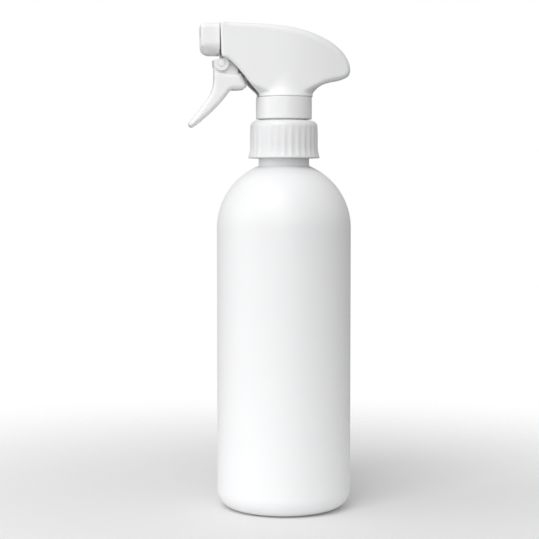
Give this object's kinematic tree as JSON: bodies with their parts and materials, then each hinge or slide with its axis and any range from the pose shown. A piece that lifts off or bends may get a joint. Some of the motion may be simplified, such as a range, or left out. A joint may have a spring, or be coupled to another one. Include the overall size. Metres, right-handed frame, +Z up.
{
  "type": "trigger spray bottle",
  "caption": "Plain white round-shouldered trigger spray bottle: blow-moulded bottle, ribbed screw closure and hand-pump head with dip tube, trigger and turning square nozzle.",
  "frame": {"origin": "centre of the bottle's standing ring, on the surface it stands on", "axes": "+Z up along the bottle's axis; the nozzle and trigger point along -X; +Y is to the user's left when aiming, looking along -X"},
  "size_m": [0.0813, 0.067, 0.2414],
  "materials": {
    "bottle_plastic": "satin white blow-moulded HDPE",
    "closure_plastic": "satin white polypropylene with soft ribs",
    "body_plastic": "satin white polypropylene",
    "shroud_plastic": "fine-textured white polypropylene",
    "trigger_plastic": "satin white polypropylene",
    "nozzle_plastic": "smooth white polypropylene",
    "natural_plastic": "natural polypropylene",
    "tube_plastic": "translucent polyethylene tube",
    "soft_seal": "pale soft elastomer",
    "spring_steel": "stainless spring wire",
    "ball_steel": "polished stainless ball"
  },
  "bodies": {
    "bottle": {"bottle": "bottle_plastic"},
    "head": {"sprayer_body": "body_plastic", "shroud": "shroud_plastic", "tube_retainer": "natural_plastic", "neck_gasket": "soft_seal", "dip_tube": "tube_plastic", "intake_filter": "natural_plastic", "barrel_plug": "body_plastic", "swirl_spinner": "natural_plastic", "nozzle_seal": "soft_seal", "return_spring": "spring_steel", "outlet_spring": "spring_steel"},
    "closure": {"closure_ring": "closure_plastic"},
    "trigger": {"trigger": "trigger_plastic"},
    "piston": {"piston_rod": "natural_plastic", "piston_seal": "soft_seal"},
    "nozzle": {"nozzle_cap": "nozzle_plastic", "orifice_insert": "nozzle_plastic"},
    "inlet_valve": {"inlet_ball": "ball_steel"},
    "outlet_valve": {"outlet_ball": "ball_steel"}
  },
  "joints": [
    {"name": "head_lift", "type": "slide", "parent": "bottle", "child": "head", "axis": [0, 0, 1], "range_m": [0, 0.00634]},
    {"name": "closure_turn", "type": "hinge", "parent": "head", "child": "closure", "pos_m": [0, 0, 0.1845], "axis": [0, 0, 1], "range_deg": [0, 540]},
    {"name": "trigger_squeeze", "type": "hinge", "parent": "head", "child": "trigger", "pos_m": [-0.0316, 0, 0.2216], "axis": [0, -1, 0], "range_deg": [0, 20], "stiffness_Nm_per_rad": 0.07, "springref_deg": -34.38},
    {"name": "piston_stroke", "type": "slide", "parent": "head", "child": "piston", "axis": [0.7694, 0, 0.6388], "range_m": [0, 0.00482], "deforming": ["return_spring"]},
    {"name": "nozzle_turn", "type": "hinge", "parent": "head", "child": "nozzle", "pos_m": [-0.037, 0, 0.2334], "axis": [-1, 0, 0], "continuous": true},
    {"name": "inlet_ball_lift", "type": "slide", "parent": "head", "child": "inlet_valve", "axis": [0, 0, 1], "range_m": [0, 0.001]},
    {"name": "outlet_ball_lift", "type": "slide", "parent": "head", "child": "outlet_valve", "axis": [-1, 0, 0], "range_m": [0, 0.0008], "stiffness_N_per_m": 40, "springref_m": -0.004, "deforming": ["outlet_spring"]}
  ],
  "couplings": [
    {"joint": "closure_turn", "follows": "head_lift", "rad_per_m": 1484.3},
    {"joint": "piston_stroke", "follows": "trigger_squeeze", "m_per_rad": 0.013782}
  ]
}
